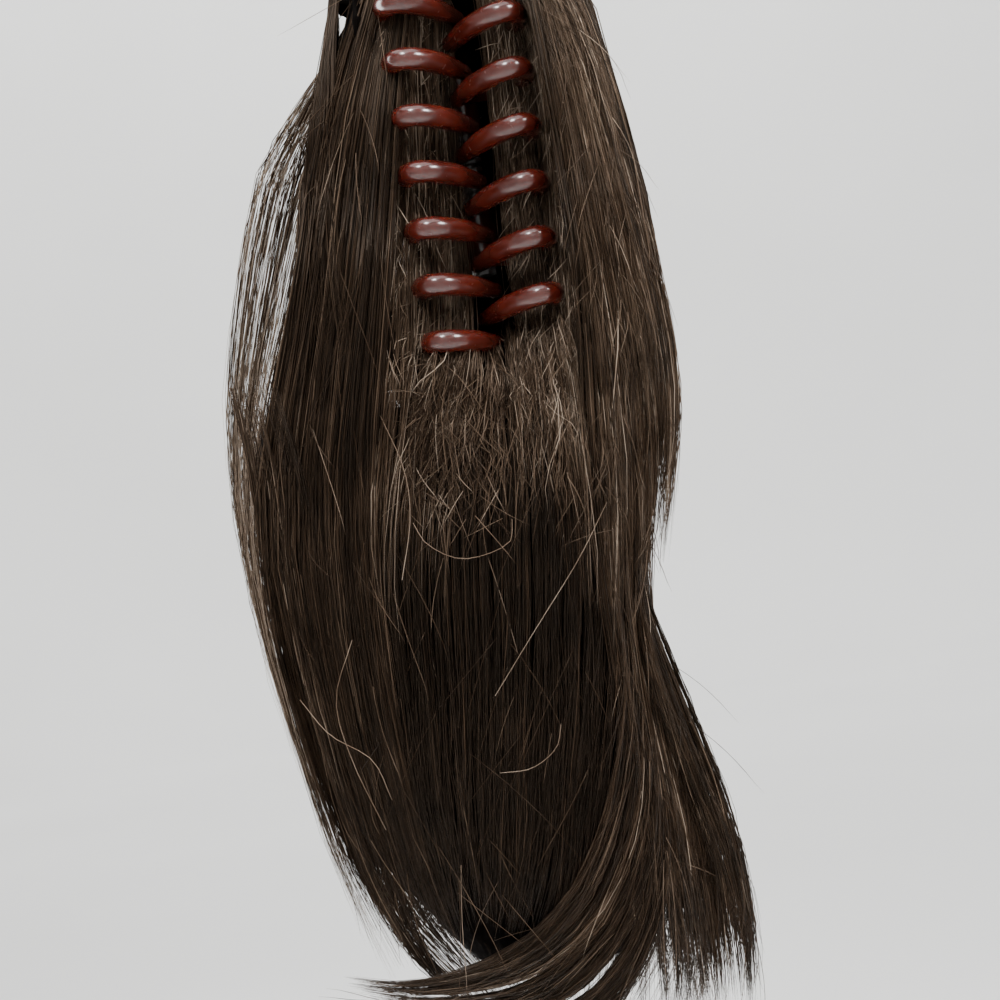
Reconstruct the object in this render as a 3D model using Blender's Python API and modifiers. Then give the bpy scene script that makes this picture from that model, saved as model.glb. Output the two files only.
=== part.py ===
"""A short ponytail hairpiece sewn round a claw clip.

Metres, +Z up. The clip's axis runs along Z, its teeth face -Y and the tail hangs down -Z. The origin is the
middle of the clip's grip, where it closes on the wearer's own hair.
"""
import math

import bmesh
import bpy
from mathutils import Vector

# Clip
TOOTH_PITCH = 0.009
LEFT_TEETH = 8
RIGHT_TEETH = 7
TOOTH_THICKNESS = 0.0036
TOOTH_TIP_THICKNESS = 0.0026
BEND_OUT = 0.0106
BEND_FRONT = 0.0204
TIP_PAST_CENTRE = 0.0011
TIP_FRONT = 0.0092
LEFT_TIP_DROP = 0.0011
RIGHT_TIP_DROP = 0.0019
JAW_END = 0.0035
PLATE_OUT = 0.0108
PLATE_THICKNESS = 0.0022
HINGE_BACK = 0.010
KNUCKLE_RADIUS = 0.0034
KNUCKLE_LENGTH = 0.0048
LEVER_LENGTH = 0.023
LEVER_WIDTH = 0.030
LEVER_SPLAY = math.radians(36)
PIN_RADIUS = 0.00095
PIN_HEAD_RADIUS = 0.0021
PIN_HEAD_LENGTH = 0.0009
SPRING_LENGTH = 0.013
SPRING_WIRE = 0.001
SPRING_TURNS = 7
CLEARANCE = 0.0003

# Hair round the clip
COVER_WALL = 0.013
COVER_HUB = 0.0145
COVER_OVERHANG = 0.002
COVER_END = math.radians(112)
COVER_FRONT = 0.0345
COVER_REAR = 0.028
LEFT_COVER_WIDTH = 0.031
RIGHT_COVER_WIDTH = 0.0285
CROWN_HEIGHT = 0.012
BACK_THICKNESS = 0.006
BACK_DEPTH = 0.036
BACK_LEFT = 0.0455
BACK_RIGHT = 0.0335
BACK_LEFT_END = math.radians(84)
BACK_RIGHT_END = math.radians(122)

# Tail
TAIL_LENGTH = 0.108
TAIL_LEFT = 0.045
TAIL_RIGHT = 0.028
TAIL_FRONT = 0.0215
TAIL_BACK = 0.046
LOCK_THICKNESS = 0.0075

JAW_LENGTH = (LEFT_TEETH - 1) * TOOTH_PITCH + 2 * JAW_END
HALF_HEIGHT = JAW_LENGTH / 2 + COVER_OVERHANG
TAIL_TOP = -HALF_HEIGHT - CLEARANCE
CROWN_BASE = HALF_HEIGHT + CLEARANCE

# Jaw plate, from its back edge to the comb: out and front as shares of the plate, and its half length
PLATE_COLUMNS = ("out", "along", "length")
PLATE_ROWS = (
    (0.50, 0.00, 0.62),
    (0.80, 0.12, 0.74),
    (0.96, 0.32, 0.88),
    (1.00, 0.60, 0.97),
    (1.00, 1.00, 1.00),
)

# One hooked tooth: out as a share of the bend, front as a share of the bend's front, drop, thickness
TOOTH_COLUMNS = ("out", "front", "drop", "thick")
TOOTH_ROWS = (
    (1.00, 0.25, 0.00, 0.95),
    (1.00, 0.55, 0.00, 1.00),
    (0.99, 0.80, 0.00, 1.00),
    (0.90, 0.95, 0.03, 1.00),
    (0.74, 1.00, 0.12, 1.00),
    (0.50, 0.93, 0.30, 1.00),
    (0.22, 0.76, 0.58, 0.97),
)

# Hair outside a jaw, from its top to its bottom: height share, width share, front share, rear share
COVER_COLUMNS = ("height", "width", "front", "rear")
LEFT_COVER_ROWS = (
    (1.00, 0.52, 0.86, 0.80),
    (0.70, 0.60, 0.93, 0.90),
    (0.40, 0.74, 0.96, 0.96),
    (0.00, 0.88, 0.98, 1.00),
    (-0.50, 0.97, 1.00, 1.00),
    (-1.00, 1.00, 1.00, 1.00),
)
RIGHT_COVER_ROWS = (
    (1.00, 0.66, 0.86, 0.80),
    (0.70, 0.76, 0.92, 0.90),
    (0.40, 0.86, 0.95, 0.96),
    (0.00, 0.92, 0.98, 1.00),
    (-0.50, 0.98, 1.00, 1.00),
    (-1.00, 1.00, 1.00, 1.00),
)

# Outer layer behind the clip, from its top to its bottom: height share, left, right and depth shares,
# and how many degrees past its left edge the sheet starts
BACK_COLUMNS = ("height", "left", "right", "depth", "open")
BACK_ROWS = (
    (1.00, 0.57, 0.84, 0.86, 42),
    (0.60, 0.67, 0.92, 0.95, 30),
    (0.25, 0.81, 0.98, 1.00, 16),
    (-0.20, 0.93, 1.00, 1.00, 6),
    (-0.60, 0.98, 1.00, 1.00, 2),
    (-1.00, 1.00, 1.00, 1.00, 0),
)

# Tail sections: drop as a share of the length, and how far each side stands out, as shares
TAIL_COLUMNS = ("drop", "left", "right", "front", "back")
TAIL_ROWS = (
    (0.00, 1.00, 0.98, 0.95, 0.98),
    (0.10, 1.02, 0.96, 1.00, 0.99),
    (0.24, 1.00, 0.80, 1.00, 0.96),
    (0.37, 0.95, 0.62, 0.98, 0.90),
    (0.53, 0.90, 0.68, 0.95, 0.82),
    (0.71, 0.81, 0.84, 0.88, 0.72),
    (0.86, 0.68, 0.92, 0.76, 0.58),
    (0.95, 0.50, 0.84, 0.56, 0.42),
    (1.00, 0.30, 0.60, 0.30, 0.24),
)

# Locks of the tail: angle round it (degrees, 0 at the front, 90 at the left), how far that turns by
# the tip, where the lock starts and ends as shares of the length, and its thickness share
LOCK_COLUMNS = ("angle", "turn", "start", "end", "thick")
TAIL_LOCKS = (
    (12, -6, 0.02, 0.26, 1.1),
    (24, 22, 0.03, 0.30, 0.9),
    (340, 14, 0.02, 0.28, 1.1),
    (326, -14, 0.03, 0.30, 0.9),
    (16, 18, 0.30, 1.00, 1.0),
    (36, 14, 0.34, 1.02, 0.9),
    (318, 84, 0.52, 1.03, 1.1),
    (336, 84, 0.60, 1.02, 1.0),
    (300, 66, 0.66, 1.06, 1.0),
    (46, -10, 0.02, 0.34, 0.9),
    (58, 10, 0.06, 1.04, 1.1),
    (84, 6, 0.05, 1.06, 1.0),
    (108, 0, 0.05, 1.02, 1.1),
    (134, 0, 0.06, 1.05, 1.1),
    (160, -4, 0.05, 1.04, 1.0),
    (184, 0, 0.06, 1.08, 1.1),
    (208, 4, 0.05, 1.06, 1.0),
    (234, 4, 0.06, 1.08, 1.1),
    (258, 8, 0.03, 0.30, 0.9),
    (262, 2, 0.36, 1.09, 1.2),
    (282, -4, 0.02, 0.26, 0.9),
    (290, -12, 0.34, 1.07, 1.1),
    (318, 10, 0.02, 0.32, 0.9),
    (322, -20, 0.28, 1.05, 1.1),
    (348, -40, 0.26, 1.06, 1.0),
)

# Locks of a cover: angle share round it, drift, start and end as height shares, thickness share
COVER_LOCKS = (
    (0.12, 0.06, 0.92, -0.96, 0.50),
    (0.32, 0.04, 0.94, -0.96, 0.60),
    (0.52, 0.04, 0.90, -0.96, 0.60),
    (0.72, 0.00, 0.94, -0.96, 0.60),
)

# Locks of the outer layer behind the clip, with the same columns
BACK_LOCKS = (
    (0.10, 0.00, 0.94, -0.96, 0.50),
    (0.24, 0.00, 0.92, -0.96, 0.60),
    (0.38, 0.00, 0.95, -0.96, 0.60),
    (0.52, 0.00, 0.92, -0.96, 0.60),
    (0.66, 0.00, 0.95, -0.96, 0.60),
    (0.80, 0.00, 0.92, -0.96, 0.60),
    (0.92, 0.00, 0.95, -0.96, 0.50),
)

# The crown's sections, from the clip up: height share and how much of the base each section keeps
CROWN_COLUMNS = ("height", "keep")
CROWN_ROWS = ((0.0, 1.0), (0.3, 0.96), (0.6, 0.84), (0.85, 0.62), (1.0, 0.3))

HAIR_COLOUR = (0.030, 0.018, 0.012)
SHEEN_COLOUR = (0.055, 0.038, 0.028)
PLASTIC_COLOUR = (0.13, 0.016, 0.006)
STEEL_COLOUR = (0.55, 0.55, 0.56)


def clear_scene():
    for obj in list(bpy.data.objects):
        bpy.data.objects.remove(obj, do_unlink=True)


def collection(name):
    made = bpy.data.collections.new(name)
    bpy.context.scene.collection.children.link(made)
    return made


def material(name, colour, roughness, metallic=0.0, transmission=0.0):
    made = bpy.data.materials.new(name)
    made.use_nodes = True
    shader = made.node_tree.nodes["Principled BSDF"]
    shader.inputs["Base Color"].default_value = (*colour, 1.0)
    shader.inputs["Roughness"].default_value = roughness
    shader.inputs["Metallic"].default_value = metallic
    shader.inputs["Transmission Weight"].default_value = transmission
    return made


def rows_of(columns, rows):
    """A table's rows as dictionaries by column name."""
    return [dict(zip(columns, row)) for row in rows]


def add_object(name, mesh):
    obj = bpy.data.objects.new(name, mesh)
    bpy.context.scene.collection.objects.link(obj)
    return obj


def mesh_object(name, build):
    """A new mesh object whose faces are made by build(bm)."""
    mesh = bpy.data.meshes.new(name)
    bm = bmesh.new()
    build(bm)
    bmesh.ops.recalc_face_normals(bm, faces=bm.faces)
    bm.to_mesh(mesh)
    bm.free()
    return add_object(name, mesh)


def loft(name, rings):
    """A closed solid through rings of as many points each, with flat ends."""

    def build(bm):
        made = [[bm.verts.new(p) for p in ring] for ring in rings]
        for low, high in zip(made, made[1:]):
            for i in range(len(low)):
                j = (i + 1) % len(low)
                bm.faces.new((low[i], low[j], high[j], high[i]))
        bm.faces.new(made[0])
        bm.faces.new(made[-1])
        bmesh.ops.triangulate(bm, faces=bm.faces)

    return mesh_object(name, build)


def shell(name, rows, thickness):
    """An open sheet through rows of points, thickened evenly on both sides."""

    def build(bm):
        made = [[bm.verts.new(p) for p in row] for row in rows]
        for low, high in zip(made, made[1:]):
            for i in range(len(low) - 1):
                bm.faces.new((low[i], low[i + 1], high[i + 1], high[i]))

    obj = mesh_object(name, build)
    solid = obj.modifiers.new("Thickness", "SOLIDIFY")
    solid.thickness = thickness
    solid.offset = 0.0
    solid.use_even_offset = True
    return apply_modifiers(obj)


def apply_modifiers(obj):
    """The object with its modifiers made real."""
    bpy.context.view_layer.update()
    graph = bpy.context.evaluated_depsgraph_get()
    mesh = bpy.data.meshes.new_from_object(obj.evaluated_get(graph))
    made = add_object(obj.name + "_solid", mesh)
    made.matrix_world = obj.matrix_world
    name = obj.name
    bpy.data.objects.remove(obj, do_unlink=True)
    made.name = name
    return made


def smooth_route(points, steps):
    """A Catmull-Rom curve read at even steps through (position, radius) pairs."""
    route = []
    last = len(points) - 1
    for k in range(steps + 1):
        t = k / steps * last
        i = min(int(t), last - 1)
        f = t - i
        around = [points[min(max(j, 0), last)] for j in (i - 1, i, i + 1, i + 2)]
        weights = (
            -0.5 * f + f * f - 0.5 * f**3,
            1 - 2.5 * f * f + 1.5 * f**3,
            0.5 * f + 2 * f * f - 1.5 * f**3,
            -0.5 * f * f + 0.5 * f**3,
        )
        place = sum((w * a[0] for w, a in zip(weights, around)), Vector((0, 0, 0)))
        radius = around[1][1] * (1 - f) + around[2][1] * f
        route.append((place, radius))
    return route


def tube(name, route, sides_resolution=2):
    """A round bar along a route of (position, radius) pairs, as a welded mesh."""
    curve = bpy.data.curves.new(name, "CURVE")
    curve.dimensions = "3D"
    curve.bevel_depth = 1.0
    curve.bevel_resolution = sides_resolution
    curve.use_fill_caps = True
    spline = curve.splines.new("POLY")
    spline.points.add(len(route) - 1)
    for point, (place, radius) in zip(spline.points, route):
        point.co = (*place, 1.0)
        point.radius = radius
    obj = apply_modifiers(add_object(name, curve))
    bm = bmesh.new()
    bm.from_mesh(obj.data)
    bmesh.ops.remove_doubles(bm, verts=bm.verts, dist=0.000005)
    bmesh.ops.recalc_face_normals(bm, faces=bm.faces)
    bm.to_mesh(obj.data)
    bm.free()
    return obj


def rod(name, radius, low, high, sides=20):
    """A round bar along the hinge axis between two heights."""

    def build(bm):
        bmesh.ops.create_cone(
            bm, cap_ends=True, segments=sides, radius1=radius, radius2=radius, depth=high - low
        )

    obj = mesh_object(name, build)
    obj.location = (0, HINGE_BACK, (low + high) / 2)
    return obj


def box(name, low, high):
    def build(bm):
        bmesh.ops.create_cube(bm, size=1.0)

    obj = mesh_object(name, build)
    size = Vector(high) - Vector(low)
    for vertex in obj.data.vertices:
        vertex.co = Vector(low) + Vector([(c + 0.5) * s for c, s in zip(vertex.co, size)])
    return obj


def combine(obj, others, operation):
    """The object joined to, cut by or kept within the others, which are used up."""
    for other in others:
        step = obj.modifiers.new("Combine", "BOOLEAN")
        step.operation = operation
        step.solver = "EXACT"
        step.object = other
        obj = apply_modifiers(obj)
        bpy.data.objects.remove(other, do_unlink=True)
    return obj


def keep(obj, name, home, finish):
    """The finished piece under its own name, in the object's collection, with its material."""
    obj.name = name
    obj.data.name = name
    for old in list(obj.users_collection):
        old.objects.unlink(obj)
    home.objects.link(obj)
    obj.data.materials.clear()
    obj.data.materials.append(finish)
    obj.data.shade_smooth()
    obj.data.set_sharp_from_angle(angle=math.radians(50))
    return obj


def centre_on_hinge(obj):
    """The same shape with its origin on the hinge axis, which it turns on."""
    hinge = Vector((0, HINGE_BACK, 0))
    for vertex in obj.data.vertices:
        vertex.co -= hinge
    obj.location = hinge


def tooth_heights(count):
    return [(i - (count - 1) / 2) * TOOTH_PITCH for i in range(count)]


def jaw_plate(side):
    """The jaw's curved wall, side -1 for left and 1 for right."""
    back_edge = HINGE_BACK - 0.25 * KNUCKLE_RADIUS
    comb = -0.3 * BEND_FRONT
    rows = []
    for row in rows_of(PLATE_COLUMNS, PLATE_ROWS):
        x = side * row["out"] * PLATE_OUT
        y = back_edge + (comb - back_edge) * row["along"]
        half = row["length"] * JAW_LENGTH / 2
        rows.append([Vector((x, y, half * k / 4)) for k in range(-4, 5)])
    return shell("plate", rows, PLATE_THICKNESS)


def jaw_lever(side):
    """The flat finger lever behind the hinge."""
    start = Vector((side * 0.5 * PLATE_OUT, HINGE_BACK - 0.25 * KNUCKLE_RADIUS, 0))
    away = Vector((side * math.sin(LEVER_SPLAY), math.cos(LEVER_SPLAY), 0))
    rows = []
    for k in range(6):
        t = k / 5
        bow = side * 0.08 * LEVER_LENGTH * math.sin(math.pi * t)
        half = LEVER_WIDTH / 2 * (1.0 - 0.35 * t**4)
        middle = start + away * LEVER_LENGTH * t + Vector((bow, 0, 0))
        rows.append([middle + Vector((0, 0, half * j / 2)) for j in (-2, -1, 0, 1, 2)])
    return shell("lever", rows, PLATE_THICKNESS)


def tooth(side, height, drop):
    """One hooked tooth: forward from the plate, round the bend and back in to its tip."""
    points = []
    for row in rows_of(TOOTH_COLUMNS, TOOTH_ROWS):
        level = height + drop * (1 - row["drop"])
        place = Vector((side * row["out"] * BEND_OUT, -row["front"] * BEND_FRONT, level))
        points.append((place, row["thick"] * TOOTH_THICKNESS / 2))
    tip = Vector((-side * TIP_PAST_CENTRE, -TIP_FRONT, height))
    points.append((tip, TOOTH_TIP_THICKNESS / 2))
    inward = (tip - points[-2][0]).normalized()
    route = smooth_route(points, 11)
    route.append((tip + inward * TOOTH_TIP_THICKNESS * 0.35, TOOTH_TIP_THICKNESS * 0.28))
    return tube("tooth", route, 2)


def knuckles(side):
    """The jaw's two hinge eyes with the tabs that carry them."""
    first = SPRING_LENGTH / 2 + CLEARANCE + (KNUCKLE_LENGTH + CLEARANCE if side > 0 else 0)
    made = []
    for low in (first, -first - KNUCKLE_LENGTH):
        high = low + KNUCKLE_LENGTH
        made.append(rod("knuckle", KNUCKLE_RADIUS, low, high, 16))
        inner = side * 0.35 * KNUCKLE_RADIUS
        outer = side * 0.52 * PLATE_OUT
        front = HINGE_BACK - 0.75 * KNUCKLE_RADIUS
        rear = HINGE_BACK + 0.25 * KNUCKLE_RADIUS
        made.append(box("tab", (min(inner, outer), front, low), (max(inner, outer), rear, high)))
    return made


def jaw(side, count, drop):
    body = jaw_plate(side)
    pieces = [jaw_lever(side)] + knuckles(side)
    pieces += [tooth(side, height, drop) for height in tooth_heights(count)]
    body = combine(body, pieces, "UNION")
    reach = SPRING_LENGTH + 4 * KNUCKLE_LENGTH
    return combine(body, [rod("bore", PIN_RADIUS + CLEARANCE, -reach, reach, 16)], "DIFFERENCE")


def hinge_pin():
    end = SPRING_LENGTH / 2 + 2 * KNUCKLE_LENGTH + 3 * CLEARANCE
    body = rod("pin", PIN_RADIUS, -end, end, 16)
    heads = [
        rod("head", PIN_HEAD_RADIUS, end, end + PIN_HEAD_LENGTH, 16),
        rod("head", PIN_HEAD_RADIUS, -end - PIN_HEAD_LENGTH, -end, 16),
    ]
    for head in heads:
        head.location.z -= math.copysign(0.3 * PIN_HEAD_LENGTH, head.location.z)
    return combine(body, heads, "UNION")


def spring_coil():
    """An open-wound coil round the pin, as long as the space between the inner eyes."""
    radius = PIN_RADIUS + CLEARANCE + SPRING_WIRE / 2
    length = SPRING_LENGTH - SPRING_WIRE - 2 * CLEARANCE
    steps = SPRING_TURNS * 12
    route = []
    for k in range(steps + 1):
        turn = 2 * math.pi * k / 12
        place = Vector((radius * math.cos(turn), HINGE_BACK + radius * math.sin(turn), length * (k / steps - 0.5)))
        route.append((place, SPRING_WIRE / 2))
    return tube("coil", route, 1)


def polar(angle, radius, height, side):
    """A point round the hinge axis: angle 0 looks to the front, and grows towards the side."""
    x = side * radius * math.sin(angle)
    return Vector((x, HINGE_BACK - radius * math.cos(angle), height))


def cover_reach(angle, row, width):
    """How far from the hinge a cover's outer face stands at an angle."""
    depth = COVER_FRONT * row["front"] if math.cos(angle) > 0 else COVER_REAR * row["rear"]
    across = abs(math.sin(angle)) / (width * row["width"])
    along = abs(math.cos(angle)) / depth
    return (across**4 + along**4) ** -0.25


def row_at(rows, key, value):
    """The table row at a value, in between rows by straight lines."""
    ordered = sorted(rows, key=lambda row: row[key])
    value = min(max(value, ordered[0][key]), ordered[-1][key])
    for low, high in zip(ordered, ordered[1:]):
        if value <= high[key]:
            f = (value - low[key]) / (high[key] - low[key])
            return {name: low[name] + (high[name] - low[name]) * f for name in low}
    return ordered[-1]


def cover_start():
    """The angle where a cover's inner wall meets its front edge."""
    return math.atan2(COVER_WALL, 0.82 * COVER_FRONT)


def cover_hair(side, table, width):
    """Hair sewn round the outside of one jaw: a backing with locks on it, cut level at both ends."""
    rows = rows_of(COVER_COLUMNS, table)
    start = cover_start()
    count = 9
    angles = [start + (COVER_END - start) * k / (count - 1) for k in range(count)]
    rings = []
    for row in rows:
        height = row["height"] * HALF_HEIGHT
        inner = [max(COVER_WALL / math.sin(a), COVER_HUB) for a in angles]
        outer = [max(cover_reach(a, row, width), i + PLATE_THICKNESS) for a, i in zip(angles, inner)]
        ring = [polar(a, r, height, side) for a, r in zip(angles, outer)]
        ring += [polar(a, r, height, side) for a, r in zip(reversed(angles), reversed(inner))]
        rings.append(ring)
    body = loft("cover", rings)
    locks = []
    for share, drift, top, bottom, thick in COVER_LOCKS:
        points = []
        for k in range(6):
            t = k / 5
            at = row_at(rows, "height", top + (bottom - top) * t)
            angle = start + (COVER_END - start) * (share + drift * t)
            reach = max(cover_reach(angle, at, width), COVER_HUB + 2 * PLATE_THICKNESS)
            swell = 0.35 + 0.65 * math.sin(math.pi * (0.12 + 0.76 * t))
            radius = thick * LOCK_THICKNESS / 2 * swell
            points.append((polar(angle, reach - 0.5 * radius, at["height"] * HALF_HEIGHT, side), radius))
        locks.append(tube("lock", smooth_route(points, 6), 1))
    return combine(body, locks, "UNION")


def back_reach(angle, row):
    """The outer layer's middle, from the hinge, at an angle that is positive on the left."""
    width = (BACK_LEFT * row["left"]) if angle < math.pi else (BACK_RIGHT * row["right"])
    across = abs(math.sin(angle)) / width
    along = abs(math.cos(angle)) / (BACK_DEPTH * row["depth"])
    return (across**2.4 + along**2.4) ** (-1 / 2.4)


def back_hair():
    """The outer layer that hangs behind the clip, clear of the covers' and levers' sweep."""
    rows = rows_of(BACK_COLUMNS, BACK_ROWS)
    last = 2 * math.pi - BACK_RIGHT_END
    count = 16
    sheet = []
    for row in rows:
        height = row["height"] * HALF_HEIGHT
        first = BACK_LEFT_END + math.radians(row["open"])
        angles = [first + (last - first) * k / (count - 1) for k in range(count)]
        sheet.append([polar(a, back_reach(a, row), height, -1) for a in angles])
    rings = []
    for line in sheet:
        outer, inner = [], []
        for i, place in enumerate(line):
            along = line[min(i + 1, count - 1)] - line[max(i - 1, 0)]
            normal = Vector((along.y, -along.x, 0)).normalized()
            edge = min(i, count - 1 - i) / (count - 1)
            half = BACK_THICKNESS / 2 * min(1.0, 0.35 + 4 * edge)
            outer.append(place + normal * half)
            inner.append(place - normal * half)
        rings.append(outer + inner[::-1])
    body = loft("back", rings)
    locks = []
    for share, drift, top, bottom, thick in BACK_LOCKS:
        points = []
        for k in range(6):
            t = k / 5
            at = row_at(rows, "height", top + (bottom - top) * t)
            first = BACK_LEFT_END + math.radians(at["open"])
            angle = first + (last - first) * (share + drift * t)
            radius = thick * LOCK_THICKNESS / 2 * (0.4 + 0.6 * math.sin(math.pi * (0.1 + 0.8 * t)))
            reach = back_reach(angle, at) + 0.2 * BACK_THICKNESS
            points.append((polar(angle, reach, at["height"] * HALF_HEIGHT, -1), radius))
        locks.append(tube("lock", smooth_route(points, 6), 1))
    return combine(body, locks, "UNION")


def tail_point(angle, row, inset=0.0):
    """A point on the tail's section: angle 0 at the front, a quarter turn at the left."""
    x_reach = TAIL_LEFT * row["left"] if math.sin(angle) > 0 else TAIL_RIGHT * row["right"]
    y_reach = TAIL_FRONT * row["front"] if math.cos(angle) > 0 else TAIL_BACK * row["back"]
    power = 2 / 2.3
    x = -math.copysign(abs(math.sin(angle)) ** power, math.sin(angle)) * (x_reach - inset)
    y = -math.copysign(abs(math.cos(angle)) ** power, math.cos(angle)) * (y_reach - inset)
    return Vector((x, y, TAIL_TOP - row["drop"] * TAIL_LENGTH))


def tail_hair():
    rows = rows_of(TAIL_COLUMNS, TAIL_ROWS)
    count = 24
    inset = 0.25 * LOCK_THICKNESS
    rings = [[tail_point(2 * math.pi * k / count, row, inset) for k in range(count)] for row in rows]
    body = loft("tail", rings)
    locks = []
    for lock in rows_of(LOCK_COLUMNS, TAIL_LOCKS):
        points = []
        for k in range(8):
            t = k / 7
            drop = lock["start"] + (lock["end"] - lock["start"]) * t
            at = row_at(rows, "drop", drop)
            angle = math.radians(lock["angle"] + lock["turn"] * t)
            radius = lock["thick"] * LOCK_THICKNESS / 2 * (0.25 + 0.75 * math.sin(math.pi * (0.14 + 0.8 * t)))
            place = tail_point(angle, at, inset + 0.3 * radius)
            place.z = TAIL_TOP - drop * TAIL_LENGTH
            points.append((place, radius))
        locks.append(tube("lock", smooth_route(points, 9), 1))
    return combine(body, locks, "UNION")


def crown_hair():
    """Hair over the clip's top end: the section of the covers and the back layer, closing to a dome."""
    cover = {-1: rows_of(COVER_COLUMNS, LEFT_COVER_ROWS)[0], 1: rows_of(COVER_COLUMNS, RIGHT_COVER_ROWS)[0]}
    back = rows_of(BACK_COLUMNS, BACK_ROWS)[0]
    middle = Vector((0, 0.35 * BACK_DEPTH, 0))
    outline = []
    count = 28
    for k in range(count):
        angle = 2 * math.pi * k / count
        side = -1 if angle < math.pi else 1
        turn = angle if angle < math.pi else 2 * math.pi - angle
        width = LEFT_COVER_WIDTH if side < 0 else RIGHT_COVER_WIDTH
        reach = cover_reach(turn, cover[side], width)
        share = min(max((math.degrees(turn) - 60) / 70, 0.0), 1.0)
        reach += (back_reach(angle, back) + BACK_THICKNESS / 2 - reach) * share
        outline.append(polar(turn, reach, 0, side))
    rings = []
    for row in rows_of(CROWN_COLUMNS, CROWN_ROWS):
        height = Vector((0, 0, CROWN_BASE + row["height"] * CROWN_HEIGHT))
        rings.append([middle + (place - middle) * row["keep"] + height for place in outline])
    return loft("crown", rings)


def main():
    clear_scene()
    home = collection("ponytail_hairpiece")
    hair = material("dark_brown_hair", HAIR_COLOUR, 0.45)
    outer = material("outer_hair", SHEEN_COLOUR, 0.4)
    plastic = material("mahogany_plastic", PLASTIC_COLOUR, 0.12, transmission=0.3)
    steel = material("spring_steel", STEEL_COLOUR, 0.3, metallic=1.0)
    keep(jaw(-1, LEFT_TEETH, LEFT_TIP_DROP), "left_jaw", home, plastic)
    keep(jaw(1, RIGHT_TEETH, RIGHT_TIP_DROP), "right_jaw", home, plastic)
    keep(hinge_pin(), "hinge_pin", home, steel)
    keep(spring_coil(), "spring_coil", home, steel)
    keep(cover_hair(-1, LEFT_COVER_ROWS, LEFT_COVER_WIDTH), "left_cover_hair", home, hair)
    keep(cover_hair(1, RIGHT_COVER_ROWS, RIGHT_COVER_WIDTH), "right_cover_hair", home, hair)
    keep(crown_hair(), "crown_hair", home, hair)
    keep(back_hair(), "back_hair", home, outer)
    keep(tail_hair(), "tail_hair", home, hair)
    for obj in home.objects:
        if obj.name.startswith(("left_", "right_")):
            centre_on_hinge(obj)


main()
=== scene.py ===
"""Looks of the ponytail hairpiece on its claw clip: strands, clip, lights and camera, round the frame."""
import math

import bmesh
import bpy
import numpy as np
from mathutils import Matrix, Vector
from mathutils.bvhtree import BVHTree


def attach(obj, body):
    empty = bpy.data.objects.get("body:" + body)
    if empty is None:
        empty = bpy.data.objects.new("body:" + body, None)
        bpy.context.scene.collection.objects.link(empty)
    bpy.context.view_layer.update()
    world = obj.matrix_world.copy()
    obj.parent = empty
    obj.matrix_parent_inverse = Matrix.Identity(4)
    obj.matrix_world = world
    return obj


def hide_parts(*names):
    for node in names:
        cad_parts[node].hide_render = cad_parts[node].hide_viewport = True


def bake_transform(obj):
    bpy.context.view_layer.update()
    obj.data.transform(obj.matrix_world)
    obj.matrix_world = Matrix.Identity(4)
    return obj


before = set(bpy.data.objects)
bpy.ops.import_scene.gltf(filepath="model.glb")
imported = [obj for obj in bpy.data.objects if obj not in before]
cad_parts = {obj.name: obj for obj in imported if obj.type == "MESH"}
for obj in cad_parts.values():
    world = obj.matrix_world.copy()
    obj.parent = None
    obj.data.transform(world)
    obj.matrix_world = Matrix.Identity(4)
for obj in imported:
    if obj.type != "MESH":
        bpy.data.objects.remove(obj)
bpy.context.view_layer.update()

MM = 0.001

# Camera: close in front of the teeth, rolled so that the piece leans as in the photograph
PHOTO_SIZE = 1000
TEETH_PLANE = -22.0 * MM
CAMERA_AWAY = 300.0 * MM
PIXEL = 0.157 * MM
CAMERA_AIM = (-2.8 * MM, -56.6 * MM)
CAMERA_ROLL = math.radians(8)
CAMERA_PLACE = Vector((CAMERA_AIM[0], TEETH_PLANE - CAMERA_AWAY, CAMERA_AIM[1]))
SENSOR_MM = 36.0

# Studio
FLOOR = -0.30
PAPER_AWAY = 2.4

# Claw clip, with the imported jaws' own sizes
TOOTH_PITCH = 9.0 * MM
LEFT_TEETH = 8
RIGHT_TEETH = 7
TOOTH_THICKNESS = 3.6 * MM
TOOTH_TIP_THICKNESS = 2.6 * MM
BEND_OUT = 10.6 * MM
BEND_FRONT = 20.4 * MM
TIP_PAST_CENTRE = 1.1 * MM
TIP_FRONT = 9.2 * MM
LEFT_TIP_DROP = 1.1 * MM
RIGHT_TIP_DROP = 1.9 * MM
JAW_LENGTH = 70.0 * MM
PLATE_OUT = 10.8 * MM
PLATE_THICKNESS = 2.2 * MM
HINGE_BACK = 10.0 * MM
KNUCKLE_RADIUS = 3.4 * MM
KNUCKLE_LENGTH = 4.8 * MM
LEVER_LENGTH = 23.0 * MM
LEVER_WIDTH = 30.0 * MM
LEVER_SPLAY = math.radians(36)
PIN_RADIUS = 0.95 * MM
SPRING_LENGTH = 13.0 * MM
CLEARANCE = 0.3 * MM

# Jaw plate from its back edge to the comb: out and along as shares of the plate, and its half length
PLATE_ROWS = (
    (0.50, 0.00, 0.62),
    (0.80, 0.12, 0.74),
    (0.96, 0.32, 0.88),
    (1.00, 0.60, 0.97),
    (1.00, 1.00, 1.00),
)

# One hooked tooth: out as a share of the bend, front as a share of the bend's front, drop, thickness
TOOTH_ROWS = (
    (1.00, 0.25, 0.00, 0.95),
    (1.00, 0.55, 0.00, 1.00),
    (0.99, 0.80, 0.00, 1.00),
    (0.90, 0.95, 0.03, 1.00),
    (0.74, 1.00, 0.12, 1.00),
    (0.50, 0.93, 0.30, 1.00),
    (0.22, 0.76, 0.58, 0.97),
)

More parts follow.
